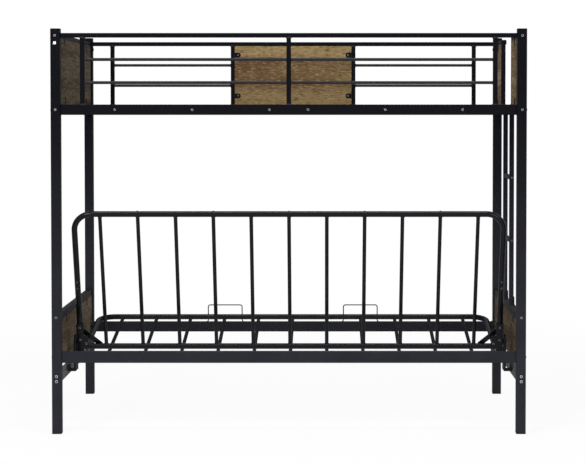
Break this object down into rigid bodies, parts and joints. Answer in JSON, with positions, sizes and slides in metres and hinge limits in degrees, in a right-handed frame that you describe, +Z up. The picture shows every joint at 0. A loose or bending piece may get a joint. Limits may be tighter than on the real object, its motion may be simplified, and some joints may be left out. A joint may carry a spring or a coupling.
{
  "type": "sofa to bunk bed",
  "caption": "Steel bunk bed with wood guard panels and an end ladder, over a tubular sofa frame that folds flat into a bed.",
  "frame": {"origin": "centre of the floor under the four feet", "axes": "+X along the bed to the ladder end, +Y to the front of the sofa, +Z up"},
  "size_m": [2.006, 1.066, 1.71],
  "materials": {
    "black_metal": "satin black powder coat",
    "oak_panel": "matt rustic oak laminate",
    "dark_panel": "matt weathered oak laminate",
    "black_plastic": "moulded matt black",
    "bolt_steel": "black zinc, worn bright on the rims"
  },
  "bodies": {
    "bunk_frame": {"back_pivot_bolts": "bolt_steel", "deck_rail_front": "black_metal", "deck_rail_rear": "black_metal", "deck_slats": "black_metal", "end_base_tube_left": "black_metal", "end_base_tube_right": "black_metal", "end_deck_tube_left": "black_metal", "end_deck_tube_right": "black_metal", "end_panel_lower_left": "dark_panel", "end_panel_lower_right": "dark_panel", "end_panel_tube_left": "black_metal", "end_panel_tube_right": "black_metal", "end_panel_upper_left": "dark_panel", "end_panels_upper_right": "dark_panel", "end_top_tube_left": "black_metal", "end_top_tube_right": "black_metal", "frame_bolts": "bolt_steel", "guard_panel": "oak_panel", "guard_rail_front": "black_metal", "guard_rail_rear": "black_metal", "guard_rods": "black_metal", "guard_uprights_front": "black_metal", "guard_uprights_rear": "black_metal", "guide_plate_left": "black_metal", "guide_plate_right": "black_metal", "ladder_gate_uprights": "black_metal", "ladder_rungs": "black_metal", "ladder_shoes": "black_metal", "ladder_stiles": "black_metal", "panel_tabs": "black_metal", "pivot_bracket_left": "black_metal", "pivot_bracket_right": "black_metal", "pivot_bushes": "black_plastic", "post_caps": "black_plastic", "post_feet": "black_plastic", "post_front_left": "black_metal", "post_front_right": "black_metal", "post_rear_left": "black_metal", "post_rear_right": "black_metal", "slat_bolts": "bolt_steel", "slat_holders": "black_plastic", "small_screws": "bolt_steel", "sofa_rail_front": "black_metal", "sofa_rail_rear": "black_metal"},
    "backrest": {"back_hoop": "black_metal", "back_side_tubes": "black_metal", "back_sleeves": "black_metal", "back_cross_tube": "black_metal", "back_spindles": "black_metal", "back_corner_braces": "black_metal", "recline_arms": "black_metal", "back_screws": "bolt_steel", "seat_hinge_bolts": "bolt_steel"},
    "seat": {"seat_hoop": "black_metal", "seat_rear_tube": "black_metal", "seat_slats": "black_metal", "seat_hinge_lugs": "black_metal", "seat_guide_pins": "bolt_steel", "mattress_loops": "black_metal"}
  },
  "joints": [
    {"name": "back_recline", "type": "hinge", "parent": "bunk_frame", "child": "backrest", "pos_m": [0, -0.2836, 0.361], "axis": [1, 0, 0], "range_deg": [0, 70]},
    {"name": "seat_level", "type": "hinge", "parent": "backrest", "child": "seat", "pos_m": [0, -0.25795, 0.29052], "axis": [1, 0, 0], "range_deg": [-79, 0]}
  ],
  "couplings": [
    {"joint": "seat_level", "follows": "back_recline", "ratio": -1.1271}
  ]
}
